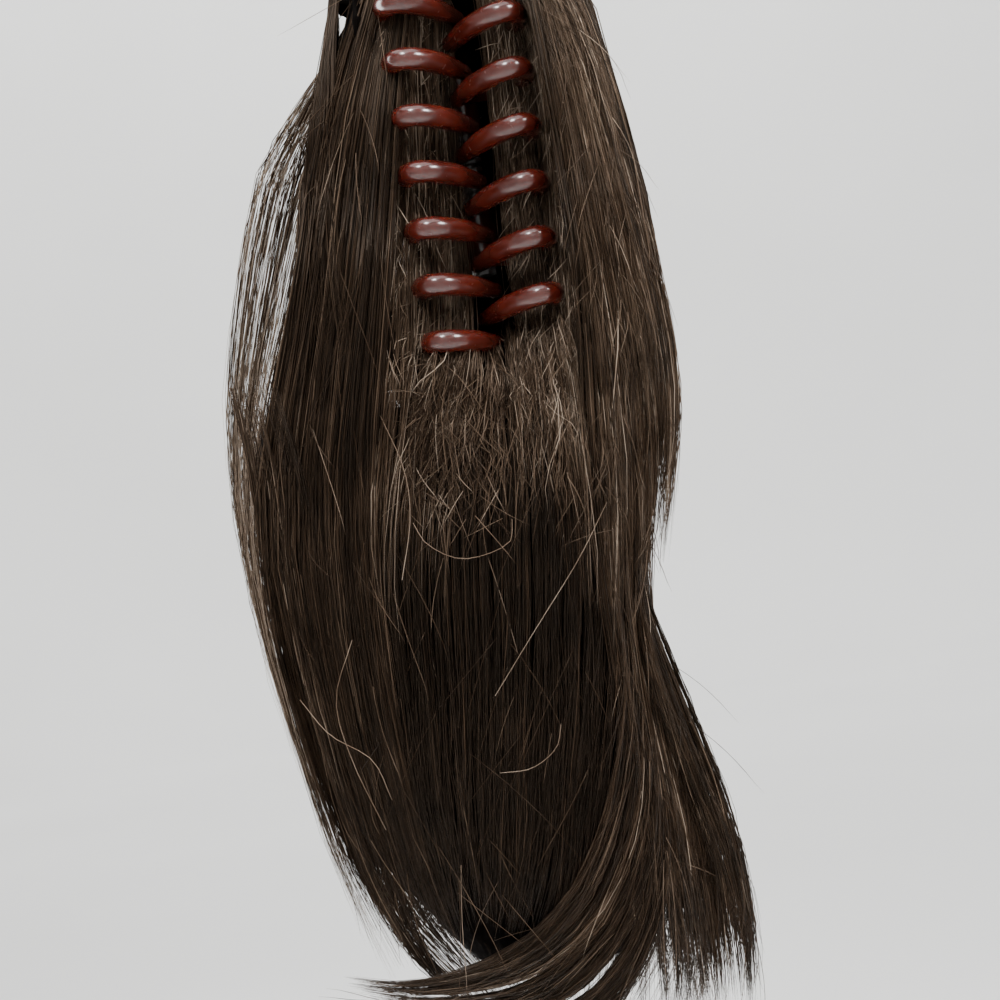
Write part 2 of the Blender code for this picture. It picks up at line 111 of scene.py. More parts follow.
# Hair
RINGS = 11
STRAND_RADIUS = 0.10 * MM
CORE_INSET = 2.1 * MM
BACK_INSET = 1.8 * MM
CROWN_INSET = 2.8 * MM
TAIL_MIDDLE = (-5.0 * MM, 4.0 * MM)
WRAP_MIDDLE = (-4.0 * MM, 9.0 * MM)
CROWN_MIDDLE = Vector((-2.0 * MM, 6.0 * MM, 50.0 * MM))
VEIL_EDGE = -17.0 * MM
CORE_VOXEL = 1.8 * MM
TUFT_RINGS = 9
JAW_STRAND_RINGS = 18
LOOSE_HAIR_RADIUS = 0.07 * MM
# Loose hairs are toned pale as strands catching the light: painted light.
LOOSE_HAIR_LIT_TONE = 0.85
# Heights, and how far left the back hair may reach at them, in millimetres
BACK_LEFT_LIMIT = ((-14, -6, 4, 14, 24, 46), (-60, -36, -28, -22, -17, -13))
TAIL_SHEEN_EDGE = -42.5 * MM
TAIL_CORE_END = -136.0 * MM
TAIL_CORE_TAPER = -100.0 * MM

# Guides are rows of (x, y, depth): a photograph pixel and about how deep the hair lies there in
# millimetres, from the crown to the tips
LEFT_VEIL = (
    ((385, -60, 10), (360, 5, 13), (330, 58, 14), (298, 105, 14), (261, 148, 14), (243, 235, 13),
     (229, 338, 12), (225, 443, 8), (234, 520, 5), (250, 600, 2), (279, 700, -1), (309, 792, -3),
     (348, 905, -6), (392, 982, -10)),
    ((400, -60, 8), (380, 0, 12), (362, 50, 14), (344, 100, 16), (325, 170, 20), (308, 240, 23),
     (292, 310, 22), (276, 370, 16), (262, 425, 10), (256, 478, 4), (252, 520, 0), (263, 600, -4),
     (285, 690, -6), (312, 780, -7), (350, 890, -8), (396, 978, -11)),
)
LEFT_LOCK = (
    ((388, -95, -10), (366, -20, -10), (340, 50, -10), (320, 110, -10), (307, 180, -10),
     (297, 250, -10), (286, 320, -10), (273, 385, -9), (261, 440, -8), (256, 500, -8),
     (256, 560, -9), (270, 630, -10), (290, 710, -10), (318, 800, -9), (352, 890, -8), (400, 972, -10)),
    ((424, -100, -18), (412, -40, -18), (404, 30, -18), (398, 100, -19), (392, 190, -20),
     (386, 290, -21), (378, 380, -19), (372, 470, -18), (374, 560, -18), (384, 650, -17),
     (398, 740, -16), (418, 830, -15), (442, 915, -14), (474, 975, -13)),
)
LEFT_INNER = (
    ((408, -100, -16), (394, 0, -17), (386, 100, -18), (382, 200, -19), (378, 290, -20),
     (374, 380, -20), (368, 470, -19), (366, 560, -19), (376, 650, -18), (392, 740, -17)),
    ((426, -100, -13), (418, 0, -14), (416, 100, -14), (420, 200, -14), (424, 290, -16),
     (420, 380, -19), (410, 470, -20), (402, 560, -20), (406, 650, -19), (414, 740, -18)),
    ((444, -100, -9), (450, 0, -9), (456, 100, -9), (462, 200, -9), (470, 290, -11),
     (470, 380, -18), (458, 470, -20), (446, 560, -20), (444, 650, -19), (446, 740, -18)),
)
RIGHT_INNER = (
    ((456, -100, -8), (484, 0, -8), (494, 100, -8), (503, 200, -8), (513, 290, -11),
     (526, 380, -19), (540, 470, -20), (550, 560, -20), (556, 650, -19), (556, 740, -18)),
    ((474, -100, -12), (528, 0, -14), (550, 100, -15), (564, 200, -16), (576, 290, -18),
     (588, 380, -20), (596, 470, -20), (600, 560, -19), (602, 650, -18), (602, 740, -17)),
)
RIGHT_LOCK = (
    ((460, -100, -18), (508, -50, -19), (540, 20, -20), (560, 100, -20), (572, 180, -21),
     (584, 260, -22), (596, 340, -22), (604, 420, -20), (610, 500, -20), (612, 580, -19),
     (612, 660, -18)),
    ((468, -100, -10), (530, -55, -14), (566, 10, -17), (592, 90, -18), (616, 180, -19),
     (638, 260, -19), (652, 340, -18), (660, 420, -15), (661, 500, -13), (653, 560, -13),
     (645, 612, -13)),
)
RIGHT_EDGE = (
    ((466, -98, -14), (528, -52, -16), (562, 10, -18), (588, 84, -19), (612, 170, -19),
     (632, 250, -19), (650, 330, -18), (658, 400, -16), (656, 470, -14), (650, 540, -14)),
    ((470, -98, 0), (545, -60, -4), (582, 0, -6), (611, 84, -8), (643, 191, -9), (666, 298, -10),
     (680, 383, -10), (680, 440, -10), (675, 495, -11), (667, 566, -12)),
)
CENTRE_MASS = (
    ((380, 430, -18), (376, 520, -18), (380, 620, -17), (394, 720, -17), (414, 820, -16),
     (440, 895, -14), (462, 945, -10)),
    ((470, 375, -18), (472, 500, -20), (474, 620, -19), (476, 720, -19), (478, 820, -17),
     (482, 880, -15), (486, 925, -10)),
    ((508, 372, -18), (510, 500, -20), (512, 620, -19), (512, 720, -19), (510, 820, -18),
     (508, 885, -16), (504, 935, -11)),
    ((545, 375, -18), (550, 520, -20), (552, 620, -19), (550, 720, -19), (544, 820, -18),
     (534, 890, -16), (520, 945, -12)),
    ((612, 440, -18), (616, 520, -18), (618, 620, -19), (614, 720, -19), (604, 820, -18),
     (590, 900, -17), (560, 970, -15)),
)
LOWER_RIGHT_LOCK = (
    ((596, 470, -18), (606, 560, -18), (618, 640, -19), (630, 720, -19), (642, 800, -17),
     (652, 880, -15), (660, 950, -14), (668, 1025, -12)),
    ((622, 480, -16), (628, 560, -16), (636, 630, -16), (652, 690, -16), (672, 760, -16),
     (692, 840, -14), (706, 930, -11), (716, 1015, -9)),
    ((640, 500, -13), (643, 560, -11), (650, 605, -9), (668, 655, -8), (690, 710, -8),
     (715, 770, -8), (742, 842, -7), (758, 920, -6), (763, 1005, -6)),
)
BOTTOM_SWEEP = (
    ((622, 600, -19), (622, 700, -20), (606, 800, -20), (572, 885, -19), (520, 940, -17),
     (460, 970, -14), (404, 982, -11), (342, 976, -9)),
    ((644, 640, -15), (650, 750, -18), (640, 850, -17), (606, 930, -16), (545, 985, -14),
     (480, 1000, -12), (420, 1000, -10), (352, 990, -8)),
    ((650, 660, -13), (664, 770, -16), (668, 870, -15), (650, 955, -15), (610, 1015, -12),
     (550, 1040, -10), (480, 1040, -8), (400, 1025, -6)),
)
LEFT_TUFT = (
    ((440, 330, -19), (424, 375, -22), (408, 420, -22), (396, 470, -22), (390, 520, -21)),
    ((472, 340, -18), (462, 385, -21), (454, 430, -22), (448, 480, -23), (446, 535, -22)),
    ((500, 330, -10), (504, 375, -18), (506, 435, -21), (507, 485, -21), (504, 540, -20)),
)
RIGHT_TUFT = (
    ((502, 315, -10), (506, 365, -17), (510, 410, -20), (514, 455, -21), (514, 515, -20)),
    ((548, 300, -16), (556, 350, -20), (564, 400, -22), (568, 455, -22), (568, 515, -21)),
    ((574, 300, -19), (590, 350, -21), (604, 400, -22), (612, 450, -22), (618, 505, -20)),
)

# Bundles of strands. Depth, wave and lift are in millimetres, start and end are the shares of the guides
# where strands begin and stop, and draw is how far a clump closes up
BUNDLE_COLUMNS = (
    "name", "guides", "count", "clumps", "draw", "depth", "wave", "start", "end", "tone", "thick", "lift"
)
TAIL_BUNDLES = (
    ("veil_locks", LEFT_VEIL, 80, 6, 0.92, 0.8, 0.3, (0.0, 0.03), (0.7, 1.0), 0.45, 0.75, 0.0),
    # The veil threads' pale tone is painted sheen: light through and off the thin strands at the left edge.
    ("veil_threads", LEFT_VEIL, 190, 90, 0.25, 1.5, 0.7, (0.0, 0.05), (0.6, 1.0), 0.86, 0.55, 0.0),
    # The centre strands' near-black tone is painted shade: the recessed middle below the teeth.
    ("centre_strands", CENTRE_MASS, 1200, 70, 0.55, 2.0, 0.6, (0.0, 0.25), (0.70, 1.0), 0.04, 1.1, 0.3),
    ("lower_right_lock", LOWER_RIGHT_LOCK, 1050, 40, 0.55, 2.2, 0.6, (0.0, 0.3), (0.84, 1.0), 0.38, 1.0, 0.5),
    ("bottom_sweep", BOTTOM_SWEEP, 1050, 36, 0.55, 2.2, 0.6, (0.0, 0.4), (0.70, 1.0), 0.28, 1.0, 0.8),
    # The tufts are toned paler for their sheen below the teeth: dark hair with partly painted light.
    ("left_tuft", LEFT_TUFT, 520, 50, 0.5, 1.8, 1.4, (0.0, 0.4), (0.4, 1.0), 0.50, 0.75, 0.8),
    ("right_tuft", RIGHT_TUFT, 560, 40, 0.5, 1.8, 0.8, (0.0, 0.4), (0.45, 1.0), 0.60, 0.8, 0.8),
)
JAW_BUNDLES = (
    ("left_lock", LEFT_LOCK, 1100, 46, 0.55, 2.4, 0.6, (0.0, 0.02), (0.80, 1.0), 0.28, 1.0, 0.8),
    # The inner locks between the teeth are toned lighter against the shade of their recess: painted light.
    ("left_inner_lock", LEFT_INNER, 560, 30, 0.4, 2.2, 0.8, (0.0, 0.05), (0.40, 0.9), 0.52, 0.85, 0.0),
    # The right lock and the right edge are toned paler as the lit right side: dark hair with partly painted
    # light.
    ("right_lock", RIGHT_LOCK, 800, 34, 0.55, 2.4, 0.6, (0.0, 0.02), (0.75, 1.0), 0.52, 1.0, 0.8),
    ("right_edge", RIGHT_EDGE, 620, 26, 0.5, 2.0, 0.5, (0.0, 0.02), (0.80, 1.0), 0.50, 1.0, 0.8),
    # The right inner lock is toned lighter the same way, against the shade of its recess: painted light.
    ("right_inner_lock", RIGHT_INNER, 460, 26, 0.4, 2.2, 0.8, (0.0, 0.05), (0.40, 0.9), 0.55, 0.85, 0.0),
)

# Frizz over a bundle: how many hairs, their lengths in millimetres, mean turn from the bundle's
# direction and its spread in degrees, tone and thickness
FRIZZ_COLUMNS = ("count", "lengths", "lean", "spread", "tone", "thick", "rings")
FRIZZ = {
    "centre_strands": (60, (8, 26), 0, 22, 0.55, 0.6, 8),
    "lower_right_lock": (60, (8, 22), 0, 16, 0.6, 0.6, 8),
    "bottom_sweep": (60, (8, 22), 0, 16, 0.55, 0.6, 8),
    # The tufts' frizz is toned pale for their sheen: partly painted light.
    "left_tuft": (200, (3, 10), 0, 34, 0.65, 0.7, 6),
    "right_tuft": (120, (3, 10), 0, 22, 0.7, 0.7, 6),
    "left_lock": (90, (6, 20), 0, 22, 0.6, 0.6, 8),
    # The frizz of the inner locks is toned pale against the shade between the teeth: painted light.
    "left_inner_lock": (900, (2.5, 7), 28, 26, 0.85, 0.65, 5),
    "right_lock": (160, (5, 16), 0, 24, 0.6, 0.65, 6),
    "right_edge": (60, (5, 16), 0, 14, 0.6, 0.6, 6),
    # Toned pale the same way, against the shade between the teeth: painted light.
    "right_inner_lock": (800, (2.5, 7), -4, 26, 0.85, 0.65, 5),
}

# Strands round the back and the sides, which the photograph doesn't show, in the order that grow takes them:
# seed, count, clumps, draw, depth, wave, start, end, tone, thickness and rings
ROUND_BUNDLES = {
    "back_strands": (77, 1480, 70, 0.5, 1.4, 0.7, (0.0, 0.03), (0.82, 1.0), 0.40, 1.35, 11),
    "right_side": (81, 820, 44, 0.5, 1.4, 0.7, (0.0, 0.03), (0.82, 1.0), 0.42, 1.3, 18),
    "left_wall": (82, 380, 30, 0.5, 1.4, 0.7, (0.0, 0.03), (0.6, 1.0), 0.36, 1.2, 16),
    "left_tail_strands": (78, 620, 34, 0.5, 1.4, 0.6, (0.05, 0.22), (0.80, 1.0), 0.45, 1.0, RINGS),
    "left_side": (79, 420, 26, 0.5, 1.4, 0.5, (0.0, 0.02), (0.9, 1.0), 0.30, 1.0, RINGS),
}

# The sheets under them: angles in degrees, 0 at the back and 90 at the left, and heights
AROUND_ANGLES = np.linspace(-152, 40, 34)
AROUND_HEIGHTS = np.linspace(44, -152, 36) * MM
BACK_FROM = 16
RIGHT_SIDE_TO = 18
LEFT_TAIL_ANGLES = np.linspace(32, 130, 16)
LEFT_TAIL_HEIGHTS = np.linspace(-24, -152, 26) * MM
LEFT_SIDE_ANGLES = np.linspace(66, 150, 12)
LEFT_SIDE_HEIGHTS = np.linspace(44, -35, 18) * MM

# Single hairs that stand away from the rest, as (x, y, depth) rows
LOOSE_HAIRS = (
    ((413, 523, -23), (428, 545, -25), (464, 559, -26), (508, 544, -25), (512, 519, -23)),
    ((607, 502, -22), (578, 560, -25), (535, 630, -24), (495, 696, -22)),
    ((561, 724, -21), (556, 748, -24), (532, 768, -24), (500, 773, -21)),
    ((380, 415, -20), (404, 470, -24), (410, 520, -24), (402, 580, -22)),
    ((300, 700, -14), (330, 735, -19), (372, 760, -20), (392, 800, -18)),
    ((352, 640, -18), (336, 700, -21), (352, 760, -21), (386, 830, -18)),
)


def from_photo(x, y, depth_mm):
    """The place in the frame that a photograph pixel shows at a depth."""
    depth = depth_mm * MM
    scale = PIXEL * (depth - TEETH_PLANE + CAMERA_AWAY) / CAMERA_AWAY
    across, down = x - PHOTO_SIZE / 2, y - PHOTO_SIZE / 2
    c, s = math.cos(CAMERA_ROLL), math.sin(CAMERA_ROLL)
    return (
        CAMERA_AIM[0] + (across * c - down * s) * scale,
        depth,
        CAMERA_AIM[1] - (across * s + down * c) * scale,
    )


def curve_through(points, shares):
    """A smooth curve through points, read at shares of its length."""
    points = np.asarray(points, float)
    n = len(points)
    padded = np.vstack([2 * points[0] - points[1], points, 2 * points[-1] - points[-2]])
    fine = np.linspace(0, n - 1, 12 * n)
    i = np.minimum(fine.astype(int), n - 2)
    f = (fine - i)[:, None]
    a, b, c, d = (padded[i + k] for k in range(4))
    bend = (c - a) * f + (2 * a - 5 * b + 4 * c - d) * f**2 + (3 * b - a - 3 * c + d) * f**3
    line = b + 0.5 * bend
    run = np.concatenate([[0], np.cumsum(np.linalg.norm(np.diff(line, axis=0), axis=1))])
    return np.stack([np.interp(np.asarray(shares) * run[-1], run, line[:, k]) for k in range(3)], axis=-1)


def hair_surface(*names):
    """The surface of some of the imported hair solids, for laying strands on."""
    points, faces = [], []
    for name in names:
        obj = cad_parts[name]
        offset = len(points)
        points += [obj.matrix_world @ v.co for v in obj.data.vertices]
        faces += [[offset + i for i in p.vertices] for p in obj.data.polygons]
    return BVHTree.FromPolygons(points, faces)


def soften(values, passes):
    """Values (guide, sample) evened out along the guides."""
    for _ in range(passes):
        values[:, 1:-1] = 0.25 * values[:, :-2] + 0.5 * values[:, 1:-1] + 0.25 * values[:, 2:]
    return values


def guide_sheet(guides, surface=None, lift=0.0, samples=40, reach=9 * MM):
    """Guides as an even array (guide, sample, 3), laid on the hair that the camera sees there."""
    shares = np.linspace(0, 1, samples)
    sheet = np.stack([curve_through([from_photo(*p) for p in guide], shares) for guide in guides])
    sheet = between_guides(sheet, 9)
    if surface:
        depths = sheet[..., 1].copy()
        for i, j in np.ndindex(depths.shape):
            place = Vector(sheet[i, j])
            hit = surface.ray_cast(CAMERA_PLACE, (place - CAMERA_PLACE).normalized())[0]
            if hit and abs(hit.y - place.y) < reach:
                depths[i, j] = hit.y - lift * MM
        depths = soften(depths, 8)
        away = (depths - CAMERA_PLACE.y) / (sheet[..., 1] - CAMERA_PLACE.y)
        origin = np.array(CAMERA_PLACE)
        sheet = origin + (sheet - origin) * away[..., None]
    return sheet


def between_guides(sheet, count):
    """More guides, evenly between the given ones."""
    at = np.linspace(0, len(sheet) - 1, count)
    i = np.minimum(at.astype(int), len(sheet) - 2)
    f = (at - i)[:, None, None]
    return sheet[i] * (1 - f) + sheet[i + 1] * f


def from_crown(sheet, crown, rows=7):
    """The sheet with rows added before it, from the middle of the crown over its top."""
    start = np.array(CROWN_MIDDLE)
    added = np.zeros((len(sheet), rows, 3))
    for i, first in enumerate(sheet[:, 0]):
        for k in range(rows):
            t = 0.03 + 0.97 * k / rows
            place = start + (first - start) * t
            hit = crown.ray_cast(Vector((place[0], place[1], 0.2)), Vector((0, 0, -1)))[0]
            if hit:
                place[2] = max(hit.z + 0.5 * MM, first[2])
            added[i, k] = place
    joined = np.concatenate([added, sheet], axis=1)
    for _ in range(3):
        joined[:, 1:-1] = 0.25 * joined[:, :-2] + 0.5 * joined[:, 1:-1] + 0.25 * joined[:, 2:]
    return evened(joined)


def evened(sheet):
    """The same guides with their samples at even steps."""
    shares = np.linspace(0, 1, sheet.shape[1])
    return np.stack([curve_through(guide, shares) for guide in sheet])


def read_sheet(sheet, across, along):
    """Places on a sheet of guides at shares across it and along it."""
    n, m = sheet.shape[:2]
    u = np.clip(across, -0.1, 1.1) * (n - 1)
    v = np.clip(along, 0, 1) * (m - 1)
    i = np.clip(np.floor(u).astype(int), 0, n - 2)
    j = np.clip(np.floor(v).astype(int), 0, m - 2)
    fu, fv = (u - i)[..., None], (v - j)[..., None]
    low = sheet[i, j] * (1 - fv) + sheet[i, j + 1] * fv
    high = sheet[i + 1, j] * (1 - fv) + sheet[i + 1, j + 1] * fv
    return low * (1 - fu) + high * fu


def inward_of(sheet):
    """The direction into the hair at each sample of a sheet, towards the piece's middle."""
    middle = np.zeros_like(sheet)
    middle[..., 0] = -4 * MM
    middle[..., 1] = 10 * MM
    middle[..., 2] = sheet[..., 2]
    inward = middle - sheet
    return inward / np.maximum(np.linalg.norm(inward, axis=-1, keepdims=True), 1e-9)


def grow(sheet, seed, count, clumps, draw, depth, wave, start, end, tone, thick, rings=RINGS):
    """Strands over a sheet of guides: places (count, rings, 3), radii and a tone for each strand, with
    painted shade on strands sunk deeper.
    """
    rng = np.random.default_rng(seed)
    t = np.linspace(0, 1, rings)[None, :]
    first = rng.uniform(*start, count)[:, None]
    last = rng.uniform(*end, count)[:, None]
    along = first + (last - first) * t
    root = rng.uniform(0, 1, count)
    centres = np.sort(rng.uniform(0.01, 0.99, clumps))
    clump = np.abs(root[:, None] - centres[None, :]).argmin(axis=1)
    pull = draw * np.minimum(1.0, 0.25 + 1.1 * t)
    across = root[:, None] * (1 - pull) + centres[clump][:, None] * pull
    across = across + rng.normal(0, 0.012, count)[:, None] * t
    across = across + (rng.normal(0, 0.020, clumps)[clump])[:, None] * np.sin(math.pi * t * 1.5)
    places = read_sheet(sheet, across, along)
    inward = read_sheet(inward_of(sheet), across, along)
    sunk = 0.5 * rng.uniform(-0.3, 1, count) + 0.5 * rng.uniform(-0.3, 1, clumps)[clump]
    sink = sunk[:, None] * depth * MM * (0.3 + 0.7 * np.sin(math.pi * np.minimum(t * 1.2, 1)))
    places += inward * sink[..., None]
    for turns, share in ((1.3, 1.0), (3.1, 0.35), (7.0, 0.10)):
        for axis in (0, 1):
            phase = rng.uniform(0, 2 * math.pi, count)[:, None]
            swing = rng.normal(0, 1, count)[:, None] * share * wave * MM
            places[..., axis] += swing * np.sin(2 * math.pi * turns * t + phase) * (0.2 + 0.8 * t)
    taper = np.clip((1.02 - t) * 5, 0.15, 1) * np.clip(0.4 + 8 * t, 0.4, 1) * (1 - 0.25 * t)
    radii = STRAND_RADIUS * thick * rng.uniform(0.55, 1.35, count)[:, None] * taper
    # Tone varies at random by clump and by strand; the sunk term darkens strands that lie deeper in the hair:
    # painted shade.
    shade = rng.normal(0, 0.08, clumps)[clump] + rng.normal(0, 0.10, count) - 0.10 * sunk
    shade += (rng.uniform(0, 1, count) < 0.14) * rng.uniform(0.1, 0.45, count)
    return places, radii, np.clip(tone + shade, 0.02, 1.0)


def stray(sheet, seed, count, lengths, lean, spread, tone, thick, rings, rise=1.0):
    """Frizz: fine short hairs that leave the sheet's direction and bow away from it."""
    rng = np.random.default_rng(seed)
    t = np.linspace(0, 1, rings)[None, :]
    u, v = rng.uniform(0.02, 0.98, count)[:, None], rng.uniform(0.02, 0.92, count)[:, None]
    here = read_sheet(sheet, u, v)[:, 0]
    ahead = read_sheet(sheet, u, np.minimum(v + 0.03, 1))[:, 0] - here
    ahead /= np.maximum(np.linalg.norm(ahead, axis=1, keepdims=True), 1e-9)
    out = -read_sheet(inward_of(sheet), u, v)[:, 0]
    side = np.cross(ahead, out)
    turn = np.radians(rng.normal(lean, spread, count))[:, None]
    course = ahead * np.cos(turn) + side * np.sin(turn)
    aside = np.cross(course, out)
    length = rng.uniform(*lengths, count)[:, None, None] * MM
    bow = rng.normal(0, 0.28, count)[:, None, None]
    lift = rng.uniform(0.2, 1.0, count)[:, None, None] * rise * MM
    steps = t[..., None]
    places = here[:, None, :] + course[:, None, :] * length * steps
    places = places + aside[:, None, :] * length * bow * steps * (1 - 0.4 * steps)
    places = places + out[:, None, :] * lift * np.sin(math.pi * np.minimum(0.15 + steps, 1))
    radii = STRAND_RADIUS * thick * rng.uniform(0.7, 1.2, count)[:, None] * np.clip((1.05 - t) * 3, 0.2, 1)
    return places, radii, np.clip(tone + rng.normal(0, 0.15, count), 0.05, 1.0)


def strand_mesh(name, places, radii, tones, sides=3):
    """One joined mesh of closed, tapering strands, with each one's tone and its share along kept on it."""
    count, rings = places.shape[:2]
    run = np.gradient(places, axis=1)
    run /= np.maximum(np.linalg.norm(run, axis=2, keepdims=True), 1e-9)
    mean = run.mean(axis=1)
    aside = np.where(np.abs(mean[:, 1:2]) > 0.75, [[1.0, 0.0, 0.0]], [[0.0, 1.0, 0.0]])
    first = np.cross(run, aside[:, None, :])
    first /= np.maximum(np.linalg.norm(first, axis=2, keepdims=True), 1e-9)
    second = np.cross(run, first)
    turn = np.arange(sides) * 2 * math.pi / sides
    ring = (
        first[:, :, None, :] * np.cos(turn)[None, None, :, None]
        + second[:, :, None, :] * np.sin(turn)[None, None, :, None]
    )
    points = places[:, :, None, :] + ring * radii[:, :, None, None]
    index = np.arange(count * rings * sides).reshape(count, rings, sides)
    here, there = index[:, :-1], index[:, 1:]
    quads = np.stack([here, np.roll(here, -1, 2), np.roll(there, -1, 2), there], axis=-1)
    loops = np.concatenate([quads.reshape(-1), index[:, 0, ::-1].reshape(-1), index[:, -1].reshape(-1)])
    sizes = np.concatenate([np.full(quads[..., 0].size, 4), np.full(2 * count, sides)])
    mesh = bpy.data.meshes.new(name)
    mesh.vertices.add(points.size // 3)
    mesh.vertices.foreach_set("co", points.reshape(-1).astype(np.float32))
    mesh.loops.add(len(loops))
    mesh.loops.foreach_set("vertex_index", loops.astype(np.int32))
    mesh.polygons.add(len(sizes))
    starts = np.concatenate([[0], np.cumsum(sizes)[:-1]])
    mesh.polygons.foreach_set("loop_start", starts.astype(np.int32))
    mesh.polygons.foreach_set("loop_total", sizes.astype(np.int32))
    mesh.update(calc_edges=True)
    shares = np.tile(np.repeat(np.linspace(0, 1, rings), sides), count)
    for label, values in (("tone", np.repeat(tones, rings * sides)), ("along", shares)):
        held = mesh.attributes.new(label, "FLOAT", "POINT")
        held.data.foreach_set("value", values.astype(np.float32))
    mesh.shade_smooth()
    obj = bpy.data.objects.new(name, mesh)
    bpy.context.scene.collection.objects.link(obj)
    return obj


def read_again(values, kept, rings):
    """Each strand's kept rows read again at an even number of rings."""
    count, old = values.shape[:2]
    low, high = kept
    at = low[:, None] + (high - low)[:, None] * np.linspace(0, 1, rings)[None, :]
    i = np.clip(at.astype(int), 0, old - 2)
    f = (at - i)[..., None]
    rows = np.arange(count)[:, None]
    return values[rows, i] * (1 - f) + values[rows, i + 1] * f


def across_jaw(name, jaw, places, radii, tones, material, slot, lower_too=True):
    """Strands from the crown over one jaw into the tail, parted halfway into an upper and a lower mesh."""
    count, rings = places.shape[:2]
    cut = np.clip((places[..., 2] > 0).sum(axis=1), 2, rings - 3)
    spans = [("upper", np.zeros(count, int), cut, 7, ("hair", 54 * MM), (jaw, 36 * MM))]
    if lower_too:
        last = np.full(count, rings - 1)
        spans.append(("lower", cut, last, 9, (jaw, -36 * MM), ("hair", -105 * MM)))
    for part, low, high, new_rings, start, end in spans:
        held = read_again(places, (low, high), new_rings)
        thick = read_again(radii[..., None], (low, high), new_rings)[..., 0]
        obj = strand_mesh(f"{name}_{part}", held, thick, tones)
        obj.data.materials.append(material)
        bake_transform(obj)


# Materials
def node_group(name, inputs, outputs):
    """An empty shader node group with named sockets, and its input and output nodes."""
    group = bpy.data.node_groups.new(name, "ShaderNodeTree")
    for label, value in inputs:
        socket = group.interface.new_socket(label, in_out="INPUT", socket_type="NodeSocketFloat")
        socket.default_value = value
    for label in outputs:
        group.interface.new_socket(label, in_out="OUTPUT", socket_type="NodeSocketFloat")
    return group, group.nodes.new("NodeGroupInput"), group.nodes.new("NodeGroupOutput")


def add_node(tree, kind, links=(), **settings):
    """A new node with its settings, and its inputs linked to sockets or set to values."""
    made = tree.nodes.new(kind)
    for label, value in settings.items():
        setattr(made, label, value)
    for key, value in dict(links).items():
        if isinstance(value, bpy.types.NodeSocket):
            tree.links.new(value, made.inputs[key])
        else:
            made.inputs[key].default_value = value
    return made


def fibre_streaks_group():
    """Fine streaks along the hair: a mask for colour and a height for relief."""
    inputs = (("Fineness", 900.0), ("Length", 30.0))
    group, given, out = node_group("fibre_streaks", inputs, ("Mask", "Height"))
    place = add_node(group, "ShaderNodeTexCoord")
    stretch = add_node(
        group, "ShaderNodeCombineXYZ",
        {"X": given.outputs["Fineness"], "Y": given.outputs["Fineness"], "Z": given.outputs["Length"]},
    )
    scaled = add_node(
        group, "ShaderNodeVectorMath", {0: place.outputs["Object"], 1: stretch.outputs[0]},
        operation="MULTIPLY"
    )
    fine = add_node(group, "ShaderNodeTexNoise", {"Vector": scaled.outputs[0], "Scale": 1.0, "Detail": 3.0})
    broad = add_node(
        group, "ShaderNodeTexNoise",
        {"Vector": scaled.outputs[0], "Scale": 0.23, "Detail": 2.0},
    )
    mixed = add_node(
        group, "ShaderNodeMath", {0: fine.outputs["Fac"], 1: broad.outputs["Fac"]}, operation="MULTIPLY"
    )
    sharp = add_node(
        group, "ShaderNodeMapRange",
        {"Value": mixed.outputs[0], "From Min": 0.16, "From Max": 0.38},
    )
    group.links.new(sharp.outputs["Result"], out.inputs["Mask"])
    group.links.new(fine.outputs["Fac"], out.inputs["Height"])
    return group


def colour_ramp(tree, fac, stops):
    """A colour ramp through (place, colour) stops."""
    made = add_node(tree, "ShaderNodeValToRGB", {"Fac": fac})
    elements = made.color_ramp.elements
    while len(elements) < len(stops):
        elements.new(0.5)
    for element, (place, colour) in zip(elements, stops):
        element.position = place
        element.color = (*colour, 1.0)
    return made


def new_material(name):
    made = bpy.data.materials.new(name)
    made.use_nodes = True
    return made, made.node_tree, made.node_tree.nodes["Principled BSDF"]


def strand_material(name, stops, roughness, gloss):
    """Loose hair: each strand has its own tone, with painted light and shade mixed in for some bundles and
    for deeper strands, and is a little paler towards the tip.
    """
    made, tree, shader = new_material(name)
    tone = add_node(tree, "ShaderNodeAttribute", attribute_name="tone")
    along = add_node(tree, "ShaderNodeAttribute", attribute_name="along")
    lifted = add_node(
        tree, "ShaderNodeMath", {0: along.outputs["Fac"], 1: 0.08, 2: tone.outputs["Fac"]},
        operation="MULTIPLY_ADD"
    )
    place = add_node(tree, "ShaderNodeTexCoord")
    cloud = add_node(
        tree, "ShaderNodeTexNoise",
        {"Vector": place.outputs["Object"], "Scale": 120.0, "Detail": 1.0},
    )
    varied = add_node(
        tree, "ShaderNodeMath", {0: cloud.outputs["Fac"], 1: 0.4, 2: lifted.outputs[0]},
        operation="MULTIPLY_ADD"
    )
    shifted = add_node(tree, "ShaderNodeMath", {0: varied.outputs[0], 1: 0.2}, operation="SUBTRACT")
    colours = colour_ramp(tree, shifted.outputs[0], stops)
    tree.links.new(colours.outputs["Color"], shader.inputs["Base Color"])
    rough = add_node(
        tree, "ShaderNodeMapRange",
        {"Value": cloud.outputs["Fac"], "To Min": roughness - 0.08, "To Max": roughness + 0.08},
    )
    tree.links.new(rough.outputs["Result"], shader.inputs["Roughness"])
    shader.inputs["Specular IOR Level"].default_value = gloss
    shader.inputs["Specular Tint"].default_value = (1.0, 0.78, 0.60, 1.0)
    return made


